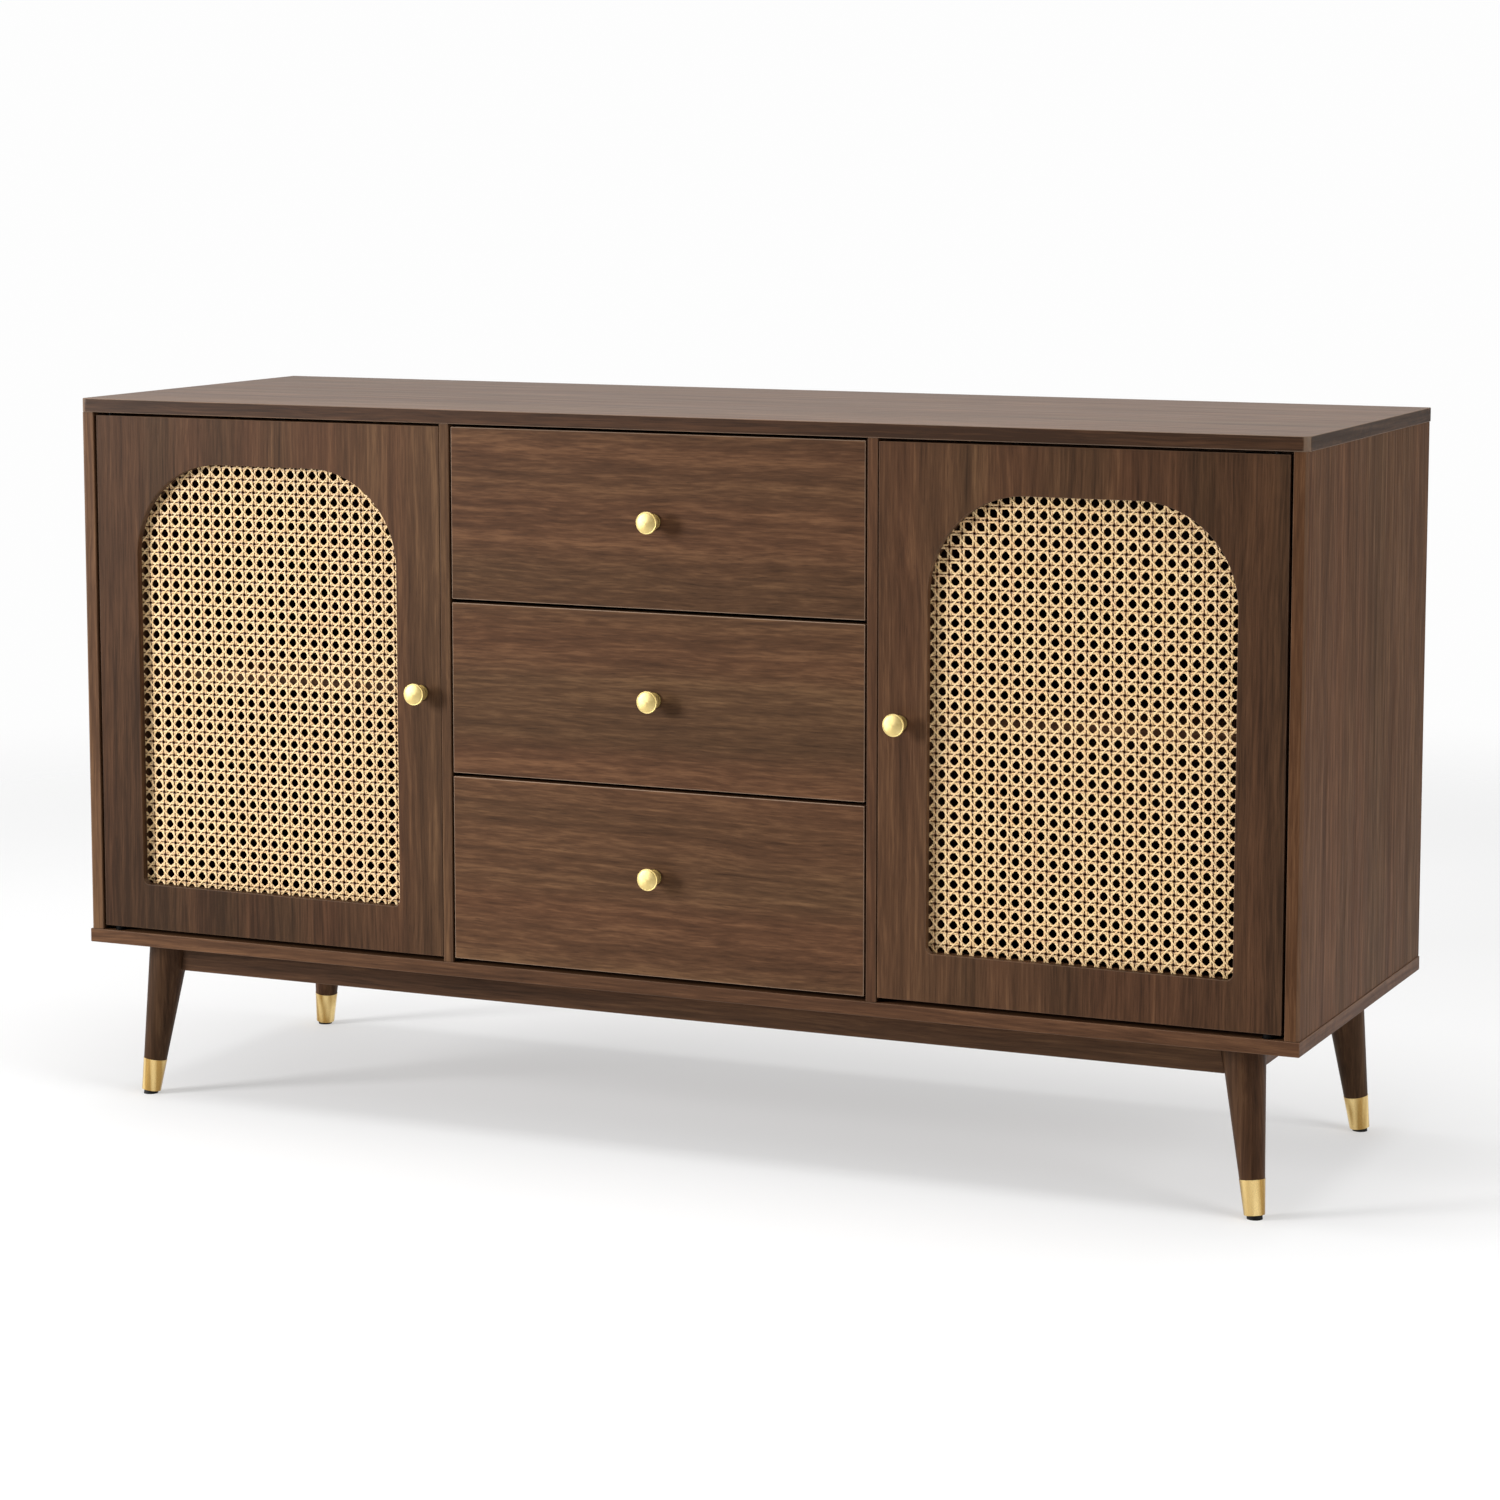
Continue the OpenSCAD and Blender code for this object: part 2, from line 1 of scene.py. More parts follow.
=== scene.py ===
"""Sideboard with cane doors, three drawers and splayed legs: materials, cane, knobs, light and camera."""
import json
import math
import random

import bpy
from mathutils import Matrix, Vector

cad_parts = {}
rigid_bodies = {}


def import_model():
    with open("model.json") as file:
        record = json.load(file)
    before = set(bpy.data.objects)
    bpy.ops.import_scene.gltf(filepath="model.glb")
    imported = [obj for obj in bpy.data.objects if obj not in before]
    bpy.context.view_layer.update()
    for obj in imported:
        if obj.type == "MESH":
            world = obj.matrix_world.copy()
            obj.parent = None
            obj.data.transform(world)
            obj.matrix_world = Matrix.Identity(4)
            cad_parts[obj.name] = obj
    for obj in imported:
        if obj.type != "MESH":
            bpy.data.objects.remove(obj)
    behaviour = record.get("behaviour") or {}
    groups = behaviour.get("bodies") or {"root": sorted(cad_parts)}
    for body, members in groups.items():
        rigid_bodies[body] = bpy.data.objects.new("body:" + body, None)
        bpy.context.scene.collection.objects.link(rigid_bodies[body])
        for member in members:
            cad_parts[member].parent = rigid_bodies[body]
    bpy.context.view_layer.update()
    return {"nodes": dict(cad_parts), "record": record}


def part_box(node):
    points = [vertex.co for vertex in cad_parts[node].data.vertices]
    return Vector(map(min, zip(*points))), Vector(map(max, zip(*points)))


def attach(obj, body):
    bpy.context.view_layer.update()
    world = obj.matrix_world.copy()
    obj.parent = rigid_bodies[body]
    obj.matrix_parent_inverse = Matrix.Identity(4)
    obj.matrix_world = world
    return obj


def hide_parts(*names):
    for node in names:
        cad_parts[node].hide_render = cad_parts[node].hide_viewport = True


for old in list(bpy.data.objects):
    bpy.data.objects.remove(old, do_unlink=True)

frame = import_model()
NODES = frame["nodes"]
MM = 0.001


# ---- Camera and lights ----

CAMERA_AT = (1.7647, -3.9172, 1.0691)
CAMERA_YAW = 24.11        # Turn about Z from looking along +Y, degrees
CAMERA_PITCH = 7.04       # Tilt down, degrees
LENS = 95.28              # Focal length on a sensor SENSOR wide, mm
SENSOR = 36
SHIFT_Y = -0.08
CLIP_END = 60


def add_camera():
    data = bpy.data.cameras.new("Camera")
    data.lens = LENS
    data.sensor_fit = "HORIZONTAL"
    data.sensor_width = SENSOR
    data.shift_y = SHIFT_Y
    data.clip_end = CLIP_END
    camera = bpy.data.objects.new("Camera", data)
    camera.location = CAMERA_AT
    camera.rotation_euler = (math.radians(90 - CAMERA_PITCH), 0, math.radians(CAMERA_YAW))
    bpy.context.scene.collection.objects.link(camera)
    bpy.context.scene.camera = camera


def add_area(name, at, target, size, watts):
    data = bpy.data.lights.new(name, "AREA")
    data.shape = "RECTANGLE"
    data.size, data.size_y = size
    data.energy = watts
    light = bpy.data.objects.new(name, data)
    light.location = at
    light.rotation_euler = (Vector(target) - Vector(at)).to_track_quat("-Z", "Y").to_euler()
    bpy.context.scene.collection.objects.link(light)


def srgb(*values):
    """Display values from 0 to 255 as a linear colour with alpha."""
    linear = [v / 255 / 12.92 if v <= 10 else ((v / 255 + 0.055) / 1.055) ** 2.4 for v in values]
    return (*linear, 1)


# ---- Material building ----

class Graph:
    """Adds nodes to a node tree and links sockets that are passed as inputs."""

    def __init__(self, tree):
        self.tree = tree

    def node(self, kind, inputs=None, **settings):
        made = self.tree.nodes.new(kind)
        for key, value in settings.items():
            setattr(made, key, value)
        for key, value in (inputs or {}).items():
            if isinstance(value, bpy.types.NodeSocket):
                self.tree.links.new(value, made.inputs[key])
            else:
                made.inputs[key].default_value = value
        return made

    def math(self, operation, a, b=0.0, c=0.0):
        return self.node("ShaderNodeMath", {0: a, 1: b, 2: c}, operation=operation).outputs[0]

    def noise(self, vector, scale, detail=2.0, roughness=0.5):
        """Noise that varies by scale, given per axis, per metre."""
        stretched = self.vector("MULTIPLY", vector, scale)
        inputs = {"Vector": stretched, "Scale": 1.0, "Detail": detail, "Roughness": roughness}
        return self.node("ShaderNodeTexNoise", inputs).outputs["Fac"]

    def noise_1d(self, value, scale, detail=2.0, roughness=0.5):
        inputs = {"W": value, "Scale": scale, "Detail": detail, "Roughness": roughness}
        return self.node("ShaderNodeTexNoise", inputs, noise_dimensions="1D").outputs["Fac"]

    def length(self, vector):
        return self.node("ShaderNodeVectorMath", {0: vector}, operation="LENGTH").outputs["Value"]

    def join(self, x, y, z=0.0):
        return self.node("ShaderNodeCombineXYZ", {0: x, 1: y, 2: z}).outputs[0]

    def vector(self, operation, a, b):
        """Adds or multiplies two vectors, or scales a vector by a number."""
        second = 3 if operation == "SCALE" else 1
        return self.node("ShaderNodeVectorMath", {0: a, second: b}, operation=operation).outputs[0]

    def ramp(self, value, stops):
        """Colour ramp through (position, colour) stops."""
        made = self.node("ShaderNodeValToRGB", {"Fac": value})
        points = made.color_ramp.elements
        while len(points) < len(stops):
            points.new(0.5)
        for point, (position, colour) in zip(points, stops):
            point.position = position
            point.color = colour
        return made.outputs["Color"]

    def mix(self, factor, a, b, blend="MIX"):
        made = self.node("ShaderNodeMix", {"Factor": factor}, data_type="RGBA", blend_type=blend)
        for key, value in (("A", a), ("B", b)):
            socket = [s for s in made.inputs if s.name == key and s.type == "RGBA"][0]
            if isinstance(value, bpy.types.NodeSocket):
                self.tree.links.new(value, socket)
            else:
                socket.default_value = value
        return [s for s in made.outputs if s.type == "RGBA"][0]

    def remap(self, value, low, high, to_low=0.0, to_high=1.0):
        """Maps low..high to to_low..to_high and holds what lies outside."""
        inputs = {"Value": value, "From Min": low, "From Max": high, "To Min": to_low, "To Max": to_high}
        return self.node("ShaderNodeMapRange", inputs).outputs["Result"]

    def bump(self, height, strength, distance):
        inputs = {"Height": height, "Strength": strength, "Distance": distance}
        return self.node("ShaderNodeBump", inputs).outputs["Normal"]


def new_material(name):
    """A material, its graph and its surface shader."""
    material = bpy.data.materials.new(name)
    material.use_nodes = True
    graph = Graph(material.node_tree)
    return material, graph, material.node_tree.nodes["Principled BSDF"]


def plug(graph, shader, **inputs):
    """Sets or links the shader's sockets; underscores in a name stand for spaces."""
    for key, value in inputs.items():
        socket = shader.inputs[key.replace("_", " ")]
        if isinstance(value, bpy.types.NodeSocket):
            graph.tree.links.new(value, socket)
        else:
            socket.default_value = value


def object_place(graph):
    """The piece's own coordinates in metres."""
    return graph.node("ShaderNodeTexCoord").outputs["Object"]


def object_axes(graph):
    """The piece's own coordinates in metres, as X, Y and Z sockets."""
    return graph.node("ShaderNodeSeparateXYZ", {0: object_place(graph)}).outputs


# ---- Walnut ----

AXIS = {"X": 0, "Y": 1, "Z": 2}
WALNUT_DARK = (53, 35, 23)
WALNUT_MID = (85, 59, 42)
WALNUT_LIGHT = (120, 88, 64)
HUE_COOL = (180, 182, 174)
HUE_WARM = (186, 180, 173)
HUE_GAIN = 2.0            # Lifts the colour back after the hue is multiplied in
PORE = (38, 25, 17)
# Colour of the painted highlight on the boards' rounded edges
PAINTED_EDGE_HIGHLIGHT = (176, 150, 128)
# Tint of the painted sheen, a painted reflection added to level faces
PAINTED_SHEEN_TINT = (1.0, 0.95, 0.84)
RINGS_PER_M = 95.0
CONTRAST = 0.55           # Half the range of the mixed figure from dark to light wood
END_GRAIN = 0.7           # A normal this far along the grain is on an end face


def grain_space(graph, along, end_along, seed):
    """Coordinates with the first axis along the grain. On end faces the grain runs along end_along."""
    axes = object_axes(graph)
    facing = graph.node("ShaderNodeTexCoord").outputs["Normal"]
    facing = graph.node("ShaderNodeSeparateXYZ", {0: facing}).outputs[AXIS[along]]
    on_end = graph.math("GREATER_THAN", graph.math("ABSOLUTE", facing), END_GRAIN)
    orders = []
    for first in (along, end_along):
        rest = [axes[AXIS[a]] for a in "XYZ" if a != first]
        orders.append(graph.join(axes[AXIS[first]], *rest))
    chosen = graph.node("ShaderNodeMix", {0: on_end}, data_type="VECTOR")
    vectors = [s for s in chosen.inputs if s.type == "VECTOR" and s.name in "AB"]
    for socket, order in zip(vectors, orders):
        graph.tree.links.new(order, socket)
    grain = [s for s in chosen.outputs if s.type == "VECTOR"][0]
    shift = (seed * 3.7 % 9, seed * 1.3 % 5, seed * 2.1 % 7)
    return graph.vector("ADD", grain, shift)


def walnut(name, along, end_along, seed, heart=(0.0, 0.06), tilt=0.05, tone=1.0, dash=9.0, sheen=0.09,
           rough=0.46, drift=(0.0, 0.0, 0.0), edge=0.0, painted_sheen=0.0, rim=0.1):
    """Satin walnut. heart is the offset of the log's middle across and behind the face, tilt its slope along
    and dash the streaks' number per metre. drift lightens the wood per metre across, per metre along and all
    over, edge the upright faces of a level board (darker below 0), haze adds a painted sheen (a painted
    reflection) to its level faces, and rim a painted highlight to the rounded edges."""
    material, graph, shader = new_material(name)
    grain = grain_space(graph, along, end_along, seed)
    sway = graph.math("MULTIPLY_ADD", graph.noise(grain, (1.1, 6.0, 6.0), detail=1.0), 0.024, -0.012)
    ripple = graph.noise(grain, (7.0, 16.0, 16.0), detail=1.0)
    sway = graph.math("MULTIPLY_ADD", ripple, 0.008, sway)
    waved = graph.vector("ADD", grain, graph.join(0.0, sway, sway))
    band = graph.noise(waved, (0.7, 21, 21), detail=2.0)
    hue = graph.noise(waved, (0.5, 14, 14), detail=1.0)
    streak = graph.noise(waved, (0.4 * dash, 140, 140), detail=3.0, roughness=0.6)
    dashes = graph.noise(waved, (1.6 * dash, 330, 330), detail=2.0, roughness=0.6)
    fibre = graph.noise(waved, (30, 900, 900), detail=2.0, roughness=0.6)
    pore = graph.noise(waved, (60, 1600, 1600), detail=1.0)

    # Growth rings: shells around the log's axis, cut by the face
    axes = object_axes(graph)
    across, depth = [axes[AXIS[a]] for a in "XYZ" if a != along]
    lean = graph.math("MULTIPLY", axes[AXIS[along]], tilt)
    centred = graph.math("SUBTRACT", graph.math("ADD", across, sway), heart[0])
    behind = graph.math("ADD", graph.math("SUBTRACT", depth, heart[1]), lean)
    radius = graph.length(graph.join(centred, behind))
    ring = graph.noise_1d(graph.math("MULTIPLY_ADD", radius, RINGS_PER_M, float(seed)), 1.0, roughness=0.6)

    layers = ((ring, 0.45), (band, 0.6), (streak, 0.9), (dashes, 0.95), (fibre, 0.4))
    mixed = drift[2]
    for layer, weight in layers:
        mixed = graph.math("MULTIPLY_ADD", layer, weight, mixed)
    if drift[0]:
        mixed = graph.math("MULTIPLY_ADD", across, drift[0], mixed)
    if drift[1]:
        mixed = graph.math("MULTIPLY_ADD", axes[AXIS[along]], drift[1], mixed)

    # The faces' directions, without their signs
    facing = graph.node("ShaderNodeTexCoord").outputs["Normal"]
    facing = graph.node("ShaderNodeVectorMath", {0: facing}, operation="ABSOLUTE").outputs[0]
    facing = graph.node("ShaderNodeSeparateXYZ", {0: facing}).outputs
    if edge:
        mixed = graph.math("MULTIPLY_ADD", facing[2], -edge, graph.math("ADD", mixed, edge))
    middle = 0.5 * sum(weight for _, weight in layers)
    shade = graph.remap(mixed, middle - CONTRAST, middle + CONTRAST)
    stops = [srgb(*[v * tone for v in colour]) for colour in (WALNUT_DARK, WALNUT_MID, WALNUT_LIGHT)]
    colour = graph.ramp(shade, list(zip((0.0, 0.5, 1.0), stops)))
    warm = graph.mix(graph.remap(hue, 0.36, 0.64), srgb(*HUE_COOL), srgb(*HUE_WARM))
    colour = graph.mix(1.0, colour, warm, blend="MULTIPLY")
    lifted = graph.vector("SCALE", colour, HUE_GAIN)
    pores = graph.remap(pore, 0.60, 0.72)
    colour = graph.mix(graph.math("MULTIPLY", pores, 0.35), lifted, srgb(*PORE))
    # Painted reflection: a pale warm tint is added to the faces that look up, in place of the satin top's
    # sheen
    if painted_sheen:
        grey = graph.vector("SCALE", PAINTED_SHEEN_TINT, graph.math("MULTIPLY", facing[2], painted_sheen))
        colour = graph.vector("ADD", colour, grey)
    # Painted highlight: the bevelled edges, whose normals lie off the axes, are mixed towards a light colour
    if rim:
        widest = graph.math("MAXIMUM", graph.math("MAXIMUM", facing[0], facing[1]), facing[2])
        colour = graph.mix(graph.remap(widest, 0.99, 0.94, 0.0, rim), colour, srgb(*PAINTED_EDGE_HIGHLIGHT))
    roughness = graph.remap(streak, 0.3, 0.7, rough + 0.05, rough - 0.04)
    height = graph.math("MULTIPLY_ADD", pores, -0.7, fibre)
    plug(graph, shader, Base_Color=colour, Roughness=roughness, Normal=graph.bump(height, 0.22, 0.00025),
         Specular_IOR_Level=sheen)
    return material


# ---- Other materials ----

def board(name, base, speck, seed):
    """Melamine or hardboard: a plain tone with a fine printed fleck."""
    material, graph, shader = new_material(name)
    place = object_place(graph)
    fleck = graph.noise(place, (40 + seed, 900, 900), detail=3.0, roughness=0.7)
    cloud = graph.noise(place, (3, 3 + seed, 3), detail=2.0)
    colour = graph.ramp(graph.remap(fleck, 0.3, 0.7), [(0.0, srgb(*speck)), (1.0, srgb(*base))])
    colour = graph.mix(graph.remap(cloud, 0.35, 0.7, 0.0, 0.25), colour, srgb(*speck))
    plug(graph, shader, Base_Color=colour, Roughness=graph.remap(fleck, 0.3, 0.7, 0.55, 0.68),
         Normal=graph.bump(fleck, 0.15, 0.0002))
    return material


def metal(name, bright, dull, rough, brushed, tone_and_reflection_bands):
    """Brushed metal. brushed and bands are the noise scales per axis of its brushing and of its stripes of
    tone, which on the ferrules are painted reflections.
    """
    material, graph, shader = new_material(name)
    place = object_place(graph)
    brush = graph.noise(place, brushed, detail=3.0, roughness=0.6)
    # Stripes from dull to bright; on the ferrules these upright stripes are painted reflections
    cloud = graph.noise(place, tone_and_reflection_bands, detail=0.0)
    colour = graph.mix(graph.remap(cloud, 0.34, 0.64), srgb(*dull), srgb(*bright))
    plug(graph, shader, Base_Color=colour, Metallic=1.0,
         Roughness=graph.remap(brush, 0.3, 0.7, rough - 0.06, rough + 0.08),
         Normal=graph.bump(brush, 0.05, 0.0001))
    return material


KNOB_PAINTED_SHADE = (-0.0155, -0.0125)   # Where the painted shade on the knob's neck and base fades in behind its head, from the front's face, m


def knob_brass():
    """Spun satin brass, brushed in rings around the piece's own Y axis, with painted shade on the neck and
    base behind the head.
    """
    material, graph, shader = new_material("knob_brass_spun")
    axes = object_axes(graph)
    rings = graph.noise_1d(graph.length(graph.join(axes[0], axes[2])), 4200.0)
    place = object_place(graph)
    cloud = graph.noise(place, (180, 180, 180), detail=2.0)
    colour = graph.mix(graph.remap(cloud, 0.3, 0.7), srgb(218, 194, 126), srgb(232, 210, 146))
    # Painted shade: the neck and base under the head are mixed towards dark brass
    colour = graph.mix(graph.remap(axes[1], *KNOB_PAINTED_SHADE, 0.0, 0.8), colour, srgb(112, 86, 38))
    around = graph.node("ShaderNodeTangent", direction_type="RADIAL", axis="Y").outputs[0]
    plug(graph, shader, Base_Color=colour, Metallic=1.0, Roughness=graph.remap(rings, 0.3, 0.7, 0.50, 0.57),
         Anisotropic=0.35, Tangent=around, Normal=graph.bump(rings, 0.10, 0.00004))
    return material


def plastic(name, colour, gloss):
    """Moulded plastic with a fine grain; gloss is its specular level."""
    material, graph, shader = new_material(name)
    place = object_place(graph)
    grain = graph.noise(place, (1500, 1500, 1500), detail=2.0)
    cloud = graph.noise(place, (90, 90, 90), detail=2.0)
    tint = graph.mix(graph.remap(cloud, 0.3, 0.7), srgb(*colour), srgb(*[v * 1.5 for v in colour]))
    plug(graph, shader, Base_Color=tint, Roughness=graph.remap(grain, 0.3, 0.7, 0.5, 0.62),
         Normal=graph.bump(grain, 0.2, 0.0001), Specular_IOR_Level=gloss)
    return material


def cane_straw():
    """Cane strands. The strand attribute holds the distance along, the place across and a number per
    strand, and the stain attribute the painted brown shade in the crossings of the pairs."""
    material, graph, shader = new_material("cane_straw")
    strand = graph.node("ShaderNodeAttribute", attribute_name="strand").outputs["Vector"]
    parts = graph.node("ShaderNodeSeparateXYZ", {0: strand}).outputs
    fibre = graph.noise(strand, (70, 2600, 41), detail=3.0, roughness=0.6)
    patch = graph.noise(strand, (11, 0, 17), detail=2.0)
    own = graph.node("ShaderNodeTexWhiteNoise", {"W": parts[2]}, noise_dimensions="1D").outputs["Value"]
    colour = graph.ramp(graph.remap(fibre, 0.28, 0.72),
                        [(0.0, srgb(204, 158, 98)), (0.45, srgb(239, 204, 144)), (1.0, srgb(252, 226, 176))])
    colour = graph.mix(graph.remap(patch, 0.48, 0.72, 0.0, 0.6), colour, srgb(222, 170, 120))
    colour = graph.mix(graph.math("MULTIPLY", own, 0.35), colour, srgb(246, 219, 180))
    # Painted shade: the strands are darkened towards brown in a star shape where the pairs cross
    painted_crossing_shade = graph.node("ShaderNodeAttribute", attribute_name="painted_crossing_shade").outputs["Fac"]
    # Painted shade: each strand darkens to brown towards its two edges
    rim = graph.remap(graph.math("ABSOLUTE", parts[1]), 0.0006, 0.0011, 0.0, 0.8)
    colour = graph.mix(rim, colour, srgb(158, 100, 48))
    painted_crossing_shade = graph.math("MULTIPLY", painted_crossing_shade, graph.remap(fibre, 0.3, 0.7, 1.3, 1.0))
    colour = graph.mix(graph.remap(painted_crossing_shade, 0.0, 0.5), colour, srgb(92, 50, 14))
    plug(graph, shader, Base_Color=colour, Roughness=graph.remap(fibre, 0.3, 0.7, 0.5, 0.38),
         Normal=graph.bump(fibre, 0.25, 0.00012))
    return material


# ---- Mesh building ----

def add_mesh(name, points, faces, material):
    mesh = bpy.data.meshes.new(name)
    mesh.from_pydata(points, [], faces)
    mesh.polygons.foreach_set("use_smooth", [True] * len(mesh.polygons))
    mesh.materials.append(material)
    mesh.update()
    made = bpy.data.objects.new(name, mesh)
    bpy.context.scene.collection.objects.link(made)
    return made


def lathe(name, profile, at, material, turns=72):
    """Revolves (radius, out) points around the axis that leaves at towards -Y. A radius may be a function."""
    points, faces = [], []
    for radius, out in profile:
        for k in range(turns):
            angle = 2 * math.pi * k / turns
            r = (radius(angle) if callable(radius) else radius) * MM
            points.append((r * math.cos(angle), -out * MM, r * math.sin(angle)))
    for ring in range(len(profile) - 1):
        for k in range(turns):
            a, b = ring * turns + k, ring * turns + (k + 1) % turns
            faces.append((a, b, b + turns, a + turns))
    for ring, flip in ((0, True), (len(profile) - 1, False)):
        rim = [ring * turns + k for k in range(turns)]
        faces.append(tuple(reversed(rim)) if flip else tuple(rim))
    made = add_mesh(name, points, faces, material)
    made.data.flip_normals()
    made.location = at
    return made


# ---- Woven cane ----

REBATE_COVER = 7.0        # Reach of the strands into the door's rebate, mm
ARCH_R = 104.0            # Radius of the window's upper corners, mm
CORNER_R = 7.0            # Radius of the window's lower corners, mm
REBATE = 7.5              # Reach of the CAD cane past the window's edge, mm
PITCH_X = 13.4            # Spacing of the cane's holes, mm
PITCH_Z = 14.07
PAIR_X = 1.5              # Half the spacing of the two strands of an upright pair, mm
PAIR_Z = 1.5              # The same for a level pair
PAIR_BOW = 0.75           # How far a strand bows out at a crossing of two pairs, mm
BOW_REACH = 2.7           # Distance over which the bow fades, mm
STRAND_W = 2.3
STRAND_T = 0.6
DIAGONAL_W = 1.95
WEAVE = 0.32              # Rise of the upright and level strands over each other, mm
DIAGONAL_RISE = 0.66      # Rise of the diagonal strands over each other, mm
PAINTED_SHADE_R = 5.4             # Reach of the painted brown shade, star-shaped, in a crossing of two pairs, mm
STAR_POWER = 0.6          # Below 1 the star has points along the strands
HALVINGS = 14             # Steps in the search for a strand's end on the window's outline
STRAND_STEPS = (-0.5, -0.25, -0.13, -0.06, 0.0, 0.06, 0.13, 0.25)   # From a crossing, in pitches
DIAGONAL_STEPS = 8        # Steps per hole along a diagonal strand
PITCH_ERROR = 0.3         # Largest sideways slip of a pair, mm
WANDER = 0.16             # Largest share of each slow wave in a strand's wander, mm
SECTION = [(-0.5, -0.05), (-0.3, 0.42), (0.3, 0.42), (0.5, -0.05), (0.32, -0.45), (-0.32, -0.45)]


class Window:
    """Outline of a door's window in X and Z, in mm, grown to the reach of the strands."""

    def __init__(self, side):
        low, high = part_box(side + "_cane")
        trim = REBATE - REBATE_COVER
        self.x0, self.x1 = low.x / MM + trim, high.x / MM - trim
        self.z0, self.z1 = low.z / MM + trim, high.z / MM - trim
        self.y = (low.y + high.y) / 2 / MM
        self.arch = ARCH_R + REBATE_COVER
        self.corner = CORNER_R + REBATE_COVER

    def inside(self, x, z):
        if not (self.x0 <= x <= self.x1 and self.z0 <= z <= self.z1):
            return False
        for radius, edge in ((self.arch, self.z1 - self.arch), (self.corner, self.z0 + self.corner)):
            past = z - edge if radius == self.arch else edge - z
            aside = max(self.x0 + radius - x, x - self.x1 + radius)
            if past > 0 and aside > 0 and math.hypot(past, aside) > radius:
                return False
        return True


class Web:
    """Collects swept strands into one mesh."""

    def __init__(self, window, origin, seed):
        self.window = window
        self.origin = origin
        self.random = random.Random(seed)
        self.points, self.faces, self.strand, self.painted_crossing_shade = [], [], [], []

    def painted_crossing_shade_at(self, x, z):
        """Painted shade: 1 in the middle of the nearest crossing of two pairs, falling to 0 in the shape of a
        star.
        """
        off_x = abs((x - self.origin[0]) % PITCH_X - PITCH_X / 2)
        off_z = abs((z - self.origin[1]) % PITCH_Z - PITCH_Z / 2)
        reach = (off_x ** STAR_POWER + off_z ** STAR_POWER) ** (1 / STAR_POWER)
        return max(0.0, 1 - reach / PAINTED_SHADE_R)

    def clip(self, place, steps):
        """The steps inside the window, with both ends moved onto its outline."""
        kept = [s for s in steps if self.window.inside(*place(s))]
        if len(kept) < 2:
            return []
        ends = []
        for edge, towards in ((kept[0], -1), (kept[-1], 1)):
            inner, outer = edge, edge + towards * (steps[1] - steps[0]) * 2
            for _ in range(HALVINGS):
                middle = (inner + outer) / 2
                if self.window.inside(*place(middle)):
                    inner = middle
                else:
                    outer = middle
            ends.append(inner)
        gap = 0.25 * (steps[1] - steps[0])
        return [ends[0]] + [s for s in kept if ends[0] + gap < s < ends[1] - gap] + [ends[1]]

    def sweep(self, place, rise, across, steps, width, thick):
        """Adds a strand. place gives X and Z at a step, rise its height towards the front, and across the
        direction of its width."""
        steps = self.clip(place, steps)
        if not steps:
            return
        number = self.random.random() * 40
        wander = [self.random.uniform(-WANDER, WANDER) for _ in range(3)]
        phase = self.random.uniform(0, 6.28)
        start = len(self.points)
        size = len(SECTION)
        run, last = 0.0, None
        for s in steps:
            x, z = place(s)
            run += math.dist((x, z), last) if last else 0.0
            last = (x, z)
            slide = sum(w * math.sin(run / (31 + 23 * k) + phase * (k + 1)) for k, w in enumerate(wander))
            for a, b in SECTION:
                off = a * width + slide
                px, pz = x + across[0] * off, z + across[1] * off
                self.points.append((px * MM, (self.window.y - rise(s) - b * thick) * MM, pz * MM))
                self.strand.append((run * MM, a * width * MM, number))
                self.painted_crossing_shade.append(self.painted_crossing_shade_at(px, pz))
        for ring in range(len(steps) - 1):
            for k in range(size):
                a, b = start + ring * size + k, start + ring * size + (k + 1) % size
                self.faces.append((a, b, b + size, a + size))
        self.faces.append(tuple(start + k for k in reversed(range(size))))
        self.faces.append(tuple(start + (len(steps) - 1) * size + k for k in range(size)))

    def build(self, name, body, node, material):
        """Makes the mesh, with the attributes that the cane's material reads."""
        made = add_mesh(name, self.points, self.faces, material)
        attribute = made.data.attributes.new("strand", "FLOAT_VECTOR", "POINT")
        attribute.data.foreach_set("vector", [v for point in self.strand for v in point])
        attribute = made.data.attributes.new("painted_crossing_shade", "FLOAT", "POINT")
        attribute.data.foreach_set("value", self.painted_crossing_shade)
        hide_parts(node)
        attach(made, body)


def bow(distance):
    """How far a strand of a pair bows out at a distance from a crossing of two pairs."""
    return PAIR_BOW * math.exp(-(distance / BOW_REACH) ** 2)


def over_under(distance, half):
    """Height of a strand at a distance from a crossing pair: up at one strand, down at the other."""
    u = distance / half
    return WEAVE * u * math.exp(0.5 * (1 - u * u))


def flat_wave(turns):
    """A cosine with flattened tops, from -1 to 1."""
    return math.sin(math.pi / 2 * math.cos(2 * math.pi * turns))


